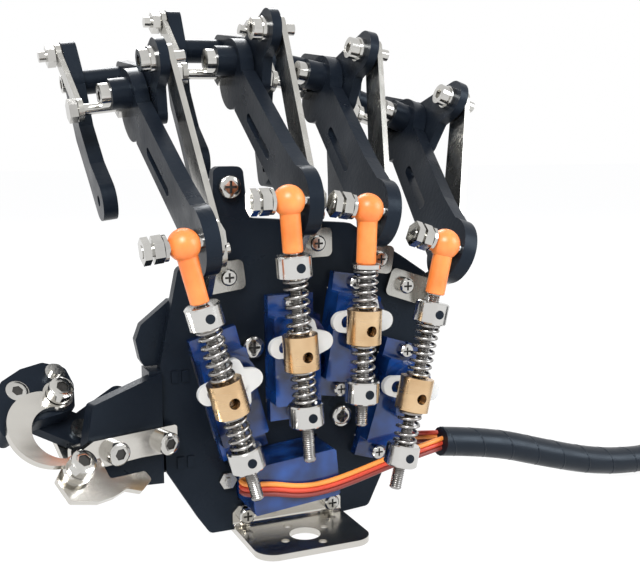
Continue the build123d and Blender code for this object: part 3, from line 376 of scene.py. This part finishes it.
def turned(profile, sides):
    """A turned shape: (radius, height) points, spun about Z."""
    shape = bmesh.new()
    made = [shape.verts.new((radius, 0, height)) for radius, height in profile]
    edges = [shape.edges.new(pair) for pair in zip(made, made[1:])]
    bmesh.ops.spin(shape, geom=made + edges, cent=(0, 0, 0), axis=(0, 0, 1), angle=2 * math.pi,
                   steps=sides, use_merge=True)
    bmesh.ops.remove_doubles(shape, verts=shape.verts, dist=1e-7)
    bmesh.ops.recalc_face_normals(shape, faces=shape.faces)
    return shape


def rod_matrix(finger):
    """Frame at the ball with Z up the push rod."""
    ball_x, ball_z, _ = KNUCKLES[finger]
    rod_tilt = math.radians(RODS[finger][0])
    return Matrix.Translation((ball_x, BALL_Y, ball_z)) @ Matrix.Rotation(rod_tilt, 4, "Y")


shank_angle = math.pi - math.asin(SHANK_RADIUS / BALL_RADIUS)
ball_profile = [(BALL_RADIUS * math.sin(shank_angle * k / BALL_RINGS),
                 BALL_RADIUS * math.cos(shank_angle * k / BALL_RINGS))
                for k in range(BALL_RINGS + 1)]
for finger, (rod_tilt, shank, *_) in RODS.items():
    shape = turned(ball_profile + [(SHANK_RADIUS, -shank + SHANK_CHAMFER),
                                   (SHANK_RADIUS - SHANK_CHAMFER, -shank), (0, -shank)], BALL_SIDES)
    pin_turn = Matrix.Rotation(math.radians(KNUCKLES[finger][2] - rod_tilt), 3, "Y")
    along_pin = pin_turn @ Vector((1, 0, 0))
    for vert in shape.verts:
        out = vert.co.dot(along_pin)
        if abs(out) > BALL_HALF:
            vert.co -= along_pin * (out - math.copysign(BALL_HALF, out))
    bmesh.ops.transform(shape, matrix=rod_matrix(finger), verts=shape.verts)
    socket = add_piece(shape, f"ball_socket_{finger}", (orange,), f"{finger}_push_rod")
    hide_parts(f"ball_end_{finger}")

# Push rods. M3 threaded rod with bright turned collars, each locked by a black set screw, and
# two compression springs of hardened wire that hold the drive block between them. The ring
# finger's rod has a washer in place of the upper collar.
ROD_RADIUS = 0.0015
ROD_CHAMFER = 0.0003
ROD_SIDES = 20
ROD_CREASE = 28
ROD_SUNK = 0.0002
THREAD_PITCH = 0.0005
THREAD_DEPTH = 0.00022
COLLAR_RADIUS = 0.0042
COLLAR_HEIGHT = 0.0054
COLLAR_CHAMFER = 0.00035
COLLAR_SIDES = 48
WASHER_RADIUS = 0.0036
WASHER_HEIGHT = 0.001
WASHER_SIDES = 40
SET_SCREW_RADIUS = 0.0011
SET_SCREW_HEIGHT = 0.00025
SET_SCREW_SINK = 0.0001
SET_SCREW_SIDES = 24
BLOCK_HALF = 0.0041
SPRING_RADIUS = 0.0027
SPRING_PITCH = 0.0021
SPRING_POINTS = 16
FEWEST_TURNS = 4
WIRE_RADIUS = 0.0004
CLOSED_TURNS = 0.8
CLOSED_SHARE = 0.85
CLOSED_PITCH = 2 * WIRE_RADIUS * CLOSED_SHARE
plated, tree, shader = new_material("bright_collar", (0.6, 0.59, 0.57), roughness=0.16,
                                    metallic=1.0)
lathe_lines = object_noise(tree, scale=600.0, detail=2.0, stretch=(0.1, 0.1, 1))
vary(tree, lathe_lines, shader.inputs["Roughness"], low=(0.3, 0.1), high=(0.75, 0.24))
bump(tree, shader, lathe_lines, strength=0.08, distance=0.0002)
spring_steel, tree, shader = new_material("spring_steel", (0.34, 0.33, 0.32), roughness=0.24,
                                          metallic=1.0)
vary(tree, object_noise(tree, scale=500.0), shader.inputs["Roughness"],
     low=(0.3, 0.16), high=(0.7, 0.38))


def collar_shape(top):
    """A collar with its edges broken, from top downwards."""
    low = -top - COLLAR_HEIGHT
    flat = COLLAR_RADIUS - COLLAR_CHAMFER
    return turned([(0, -top), (flat, -top), (COLLAR_RADIUS, -top - COLLAR_CHAMFER),
                   (COLLAR_RADIUS, low + COLLAR_CHAMFER), (flat, low), (0, low)], COLLAR_SIDES)


def laid_curve(name, routes, order=3, steps=8):
    """A curve of smooth splines that follow these routes' points, still without thickness."""
    curve = bpy.data.curves.new(name, "CURVE")
    curve.dimensions = "3D"
    for route in routes:
        line = curve.splines.new("NURBS")
        line.points.add(len(route) - 1)
        for point, place in zip(line.points, route):
            point.co = (*place, 1)
        line.order_u = order
        line.use_endpoint_u = True
        line.resolution_u = steps
    laid = bpy.data.objects.new(name, curve)
    bpy.context.collection.objects.link(laid)
    return laid


def thicken(laid, radius, roundness, material, body):
    """Make a laid curve a round wire or cord that rides on a body."""
    laid.data.bevel_depth = radius
    laid.data.bevel_resolution = roundness
    laid.data.use_fill_caps = True
    laid.data.materials.append(material)
    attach(laid, body)


def spring_route(matrix, top, bottom):
    """Points of a spring's wire between two depths below the ball, its end turns closed."""
    turns = max(FEWEST_TURNS, round((bottom - top) / SPRING_PITCH) + 1)
    open_turns = turns - 2 * CLOSED_TURNS
    free = bottom - top - 2 * WIRE_RADIUS
    open_pitch = (free - 2 * CLOSED_TURNS * CLOSED_PITCH) / open_turns
    route = []
    for k in range(turns * SPRING_POINTS + 1):
        turn = k / SPRING_POINTS
        angle = 2 * math.pi * turn
        shut = min(turn, CLOSED_TURNS) + max(turn - (turns - CLOSED_TURNS), 0)
        opened = min(max(turn - CLOSED_TURNS, 0), open_turns)
        route.append(matrix @ Vector((SPRING_RADIUS * math.cos(angle),
                                      SPRING_RADIUS * math.sin(angle),
                                      -bottom + WIRE_RADIUS + shut * CLOSED_PITCH
                                      + opened * open_pitch)))
    return route


for finger, (_, shank, upper, lower, block, end) in RODS.items():
    body = f"{finger}_push_rod"
    matrix = rod_matrix(finger)
    profile = [(0, -shank + ROD_SUNK), (ROD_RADIUS, -shank + ROD_SUNK)]
    height = -shank - THREAD_PITCH / 2
    while height > -end + 2 * THREAD_PITCH:
        profile += [(ROD_RADIUS, height), (ROD_RADIUS - THREAD_DEPTH, height - THREAD_PITCH / 2)]
        height -= THREAD_PITCH
    profile += [(ROD_RADIUS, height), (ROD_RADIUS, -end + ROD_CHAMFER),
                (ROD_RADIUS - ROD_CHAMFER, -end), (0, -end)]
    shape = turned(profile, ROD_SIDES)
    for face in shape.faces:
        face.material_index = 1
    joined(shape, collar_shape(lower))
    if upper is None:
        collars = [lower]
        spring_top = shank + WASHER_HEIGHT
        joined(shape, turned([(0, -shank), (WASHER_RADIUS, -shank), (WASHER_RADIUS, -spring_top),
                              (0, -spring_top)], WASHER_SIDES))
    else:
        collars = [lower, upper]
        spring_top = upper + COLLAR_HEIGHT
        joined(shape, collar_shape(upper))
    bmesh.ops.transform(shape, matrix=matrix, verts=shape.verts)
    rod = add_piece(shape, f"threaded_rod_{finger}", (plated, spring_steel), body,
                    crease=ROD_CREASE)
    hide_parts(f"push_rod_{finger}")
    springs = laid_curve(f"springs_{finger}", [spring_route(matrix, spring_top, block - BLOCK_HALF),
                                               spring_route(matrix, block + BLOCK_HALF, lower)],
                         order=4, steps=3)
    thicken(springs, WIRE_RADIUS, roundness=2, material=spring_steel, body=body)
    set_screws = bmesh.new()
    for collar_top in collars:
        screw = turned([(0, 0), (SET_SCREW_RADIUS, 0), (SET_SCREW_RADIUS, SET_SCREW_HEIGHT),
                        (0, SET_SCREW_HEIGHT)], SET_SCREW_SIDES)
        front = (0, -COLLAR_RADIUS + SET_SCREW_SINK, -collar_top - COLLAR_HEIGHT / 2)
        bmesh.ops.transform(screw, matrix=Matrix.Translation(front) @ facing_front,
                            verts=screw.verts)
        joined(set_screws, screw)
    bmesh.ops.transform(set_screws, matrix=matrix, verts=set_screws.verts)
    add_piece(set_screws, f"set_screws_{finger}", (black,), body)

# Drive blocks. Turned from brass bar with the tool's fine rings left on, and drilled for the
# rod that they slide on. A pin in each one's side runs in the servo horn.
brass, tree, shader = new_material("turned_brass", (0.8, 0.56, 0.3), roughness=0.24, metallic=1.0)
rings = object_noise(tree, scale=500.0, detail=2.0, stretch=(0.1, 0.1, 1))
vary(tree, rings, shader.inputs["Roughness"], low=(0.3, 0.18), high=(0.75, 0.34))
vary(tree, object_noise(tree, scale=150.0), shader.inputs["Base Color"],
     low=(0.3, (0.6, 0.4, 0.22)), high=(0.7, (0.76, 0.55, 0.33)))
dress(brass, *[f"drive_block_{finger}" for finger in FINGERS])

# Servo wires. The thumb servo's three cores, silicone covered, run across its front to the
# sleeve. The finger servos' leads join them round the palm's edge, five cores of them in view.
LEAD_RADIUS = 0.00062
LEAD_COLOURS = {"brown": (0.2, 0.03, 0.022), "red": (0.55, 0.05, 0.02),
                "orange": (0.86, 0.28, 0.05)}
EDGE_SHADES = ("red", "orange", "brown", "orange", "red")
# A lead's points: x, y, z and the direction in which its cores lie side by side.
STACKED = (0, 0, 1)
SPREAD = (0, 1, 0)
THUMB_LEAD = ((-0.0138, 0.0045, 0.0148, STACKED), (-0.0156, 0.0045, 0.0148, STACKED),
              (-0.0156, -0.00075, 0.0152, STACKED), (-0.0096, -0.00075, 0.0149, STACKED),
              (-0.0015, -0.00075, 0.0129, STACKED), (0.0052, -0.00075, 0.0130, STACKED),
              (0.0122, -0.00075, 0.0143, STACKED), (0.0235, -0.00075, 0.0172, STACKED),
              (0.0330, 0.00045, 0.0186, STACKED), (0.0430, 0.0024, 0.0195, STACKED))
EDGE_LEAD = ((0.0290, 0.0225, 0.0200, SPREAD), (0.0290, 0.0225, 0.0145, SPREAD),
             (0.0350, 0.0215, 0.0140, STACKED), (0.0380, 0.0150, 0.0160, STACKED),
             (0.0380, 0.0090, 0.0178, STACKED), (0.0390, 0.0046, 0.0190, STACKED),
             (0.0430, 0.0038, 0.0188, STACKED))
covers = {}
for shade, colour in LEAD_COLOURS.items():
    covers[shade], tree, shader = new_material(f"wire_{shade}", colour, roughness=0.42)
    vary(tree, object_noise(tree, scale=300.0), shader.inputs["Roughness"],
         low=(0.3, 0.34), high=(0.7, 0.52))


def core(name, shade, lead, place):
    """One core of a flat lead, place cores off its middle."""
    route = [Vector(point) + Vector(aside) * place * 2 * LEAD_RADIUS for *point, aside in lead]
    made = laid_curve(name, [route])
    thicken(made, LEAD_RADIUS, roundness=3, material=covers[shade], body="palm")
    return made


for k, shade in enumerate(LEAD_COLOURS):
    lead = core(f"lead_{shade}", shade, THUMB_LEAD, k - 1)
    if shade == "brown":
        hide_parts("servo_leads")
for k, shade in enumerate(EDGE_SHADES):
    core(f"edge_lead_{k + 1}", shade, EDGE_LEAD, k - 2)

# Cable. The five servo leads run in a black spiral wrap to a plug; what the view leaves out
# lies in a flat coil. The wrap is one round cord, and its winding is a ridge wound round it.
SLEEVE_RADIUS = 0.00385
COIL_CENTRE = (0.17422, -0.00272)
COIL_RADIUS = 0.0385
COIL_START = 135
COIL_STEP = 22.5
COIL_POINTS = 25
CLIMB_FROM = 12
CLIMB_STEPS = 4
sleeve_route = [(0.0400, 0.0026, 0.0195), (0.0560, 0.0030, 0.0173), (0.0740, 0.0040, 0.0116),
                (0.0920, 0.0050, 0.0064), (0.1080, 0.0064, 0.00395), (0.1230, 0.0077, 0.00385),
                (0.1365, 0.0140, 0.00385)]
for k in range(COIL_POINTS):
    angle = math.radians(COIL_START - COIL_STEP * k)
    climb = min(max((k - CLIMB_FROM) / CLIMB_STEPS, 0), 1)
    sleeve_route.append((COIL_CENTRE[0] + COIL_RADIUS * math.cos(angle),
                         COIL_CENTRE[1] + COIL_RADIUS * math.sin(angle),
                         SLEEVE_RADIUS + climb * 2 * SLEEVE_RADIUS))
sleeve_route += [(0.1710, -0.0395, 0.01155), (0.1600, -0.0330, 0.0116), (0.1568, -0.0240, 0.0080),
                 (0.1565, -0.0150, 0.0042), (0.1565, -0.0041, 0.00385)]
wrap, tree, shader = new_material("spiral_wrap", (0.004, 0.006, 0.01), roughness=0.36)
set_inputs(shader, {"Specular IOR Level": 0.28, "Specular Tint": (0.72, 0.86, 1.0, 1)})
vary(tree, object_noise(tree, scale=150.0, detail=4.0), shader.inputs["Roughness"],
     low=(0.3, 0.28), high=(0.75, 0.48))
dress(wrap, "cable_plug")
CENTRE_STEPS = 40
CABLE_STEPS = 8
cable = laid_curve("cable", [sleeve_route], steps=CENTRE_STEPS)
centre_mesh = bpy.data.meshes.new_from_object(cable)
centre_line = [vert.co.copy() for vert in centre_mesh.vertices]
bpy.data.meshes.remove(centre_mesh)
cable.data.splines[0].resolution_u = CABLE_STEPS
thicken(cable, SLEEVE_RADIUS, roundness=5, material=wrap, body="palm")
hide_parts("cable_sleeve", "cable_coil")
WIND_PITCH = 0.0095
WIND_POINTS = 12
RIDGE_RADIUS = 0.00045
RIDGE_SUNK = 0.00025
ridge_route = []
side = Vector((0, 0, 1))
travelled = 0.0
wanted = 0.0
for here, there in zip(centre_line, centre_line[1:]):
    ahead = (there - here).normalized()
    side = (side - ahead * side.dot(ahead)).normalized()
    span = (there - here).length
    while wanted <= travelled + span:
        angle = 2 * math.pi * wanted / WIND_PITCH
        out = side * math.cos(angle) + ahead.cross(side) * math.sin(angle)
        ridge_route.append(here + ahead * (wanted - travelled)
                           + out * (SLEEVE_RADIUS - RIDGE_SUNK))
        wanted += WIND_PITCH / WIND_POINTS
    travelled += span
ridge = laid_curve("wrap_ridge", [ridge_route], steps=2)
thicken(ridge, RIDGE_RADIUS, roundness=2, material=wrap, body="palm")

# Floor. A plain pale table top, just under the flange. To the camera and in the metal it glows
# almost white, and the rest of it is lit as a matt surface, which keeps the hand's shadow.
FLOOR_HALF = 3.0
FLOOR_DROP = 0.0004
FLOOR_GLOW = 1.05
FLOOR_GLOW_SHARE = 0.9


def background_rays(tree):
    """1 for the rays that meet the background from the camera, or off or through the hand."""
    path = tree.nodes.new("ShaderNodeLightPath")
    seen = path.outputs["Is Camera Ray"]
    for kind in ("Is Glossy Ray", "Is Transmission Ray"):
        either = tree.nodes.new("ShaderNodeMath")
        either.operation = "MAXIMUM"
        tree.links.new(seen, either.inputs[0])
        tree.links.new(path.outputs[kind], either.inputs[1])
        seen = either.outputs["Value"]
    return seen


def blend_shaders(tree, factor, lit, glowing, output):
    """Send a mix of two shaders to the tree's output."""
    mix = tree.nodes.new("ShaderNodeMixShader")
    tree.links.new(factor, mix.inputs["Fac"])
    tree.links.new(lit, mix.inputs[1])
    tree.links.new(glowing, mix.inputs[2])
    tree.links.new(mix.outputs["Shader"], tree.nodes[output].inputs["Surface"])


shape = bmesh.new()
bmesh.ops.create_grid(shape, x_segments=1, y_segments=1, size=FLOOR_HALF)
bmesh.ops.translate(shape, verts=shape.verts, vec=(0, 0, -FLOOR_DROP))
floor_mesh = bpy.data.meshes.new("floor")
shape.to_mesh(floor_mesh)
shape.free()
floor = bpy.data.objects.new("floor", floor_mesh)
bpy.context.collection.objects.link(floor)
pale, tree, shader = new_material("pale_floor", (0.85, 0.85, 0.85), roughness=0.7)
glow = tree.nodes.new("ShaderNodeEmission")
set_inputs(glow, {"Strength": FLOOR_GLOW})
share = tree.nodes.new("ShaderNodeMath")
share.operation = "MULTIPLY"
share.inputs[1].default_value = FLOOR_GLOW_SHARE
tree.links.new(background_rays(tree), share.inputs[0])
blend_shaders(tree, share.outputs["Value"], shader.outputs["BSDF"], glow.outputs["Emission"],
              "Material Output")
floor_mesh.materials.append(pale)
floor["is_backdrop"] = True

# Surroundings. A plain white studio to the camera and in the metal. On the hand it gives only
# a weak, slightly cool light, so that the shadows between the parts stay.
world = bpy.data.worlds.new("studio")
bpy.context.scene.world = world
world.use_nodes = True
tree = world.node_tree
ambient = tree.nodes["Background"]
set_inputs(ambient, {"Color": (0.8, 0.86, 1.0, 1), "Strength": 0.45})
white = tree.nodes.new("ShaderNodeBackground")
set_inputs(white, {"Color": (1, 1, 1, 1)})
blend_shaders(tree, background_rays(tree), ambient.outputs["Background"],
              white.outputs["Background"], "World Output")

# Lamps. Three soft round lamps give plain studio light: the main one high in front on the
# thumb's side, a cooler fill on the other side, and one behind for the upper edges.
FULL_WHITE = (1, 1, 1)
COOL_WHITE = (0.92, 0.96, 1.0)


def soft_lamp(name, place, target, size, watts, colour):
    """A round lamp that faces target."""
    light = bpy.data.lights.new(name, "AREA")
    light.shape = "DISK"
    light.size = size
    light.energy = watts
    light.color = colour
    lamp = bpy.data.objects.new(name, light)
    bpy.context.collection.objects.link(lamp)
    lamp.location = place
    lamp.rotation_euler = (Vector(target) - Vector(place)).to_track_quat("-Z", "Y").to_euler()


soft_lamp("key_lamp", place=(-0.35, -0.55, 0.65), target=(0, 0, 0.06), size=0.35, watts=9.0,
          colour=FULL_WHITE)
soft_lamp("fill_lamp", place=(0.6, -0.45, 0.35), target=(0, 0, 0.06), size=0.5, watts=4.0,
          colour=COOL_WHITE)
soft_lamp("rim_lamp", place=(0.1, 0.6, 0.6), target=(0, 0, 0.08), size=0.4, watts=5.0,
          colour=FULL_WHITE)

# Camera. It stands in front on the thumb's side, at about three quarters of the hand's height,
# and looks slightly down. Its place, angles and focal length were fitted to the servo cases,
# whose real size is known.
FOCAL_PIXELS = 983.0
IMAGE_WIDTH = 640.0
CAMERA_PLACE = (-0.09015, -0.2153, 0.09875)
CAMERA_AZIMUTH = math.radians(-23.64)
CAMERA_ELEVATION = math.radians(8.33)
lens = bpy.data.cameras.new("camera")
lens.sensor_width = 36.0
lens.lens = FOCAL_PIXELS / IMAGE_WIDTH * lens.sensor_width
lens.clip_start = 0.01
lens.clip_end = 20.0
camera = bpy.data.objects.new("camera", lens)
bpy.context.collection.objects.link(camera)
camera.location = CAMERA_PLACE
camera.rotation_euler = (math.pi / 2 - CAMERA_ELEVATION, 0, CAMERA_AZIMUTH)
bpy.context.scene.camera = camera
bpy.context.scene.view_settings.view_transform = "Standard"

low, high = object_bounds()
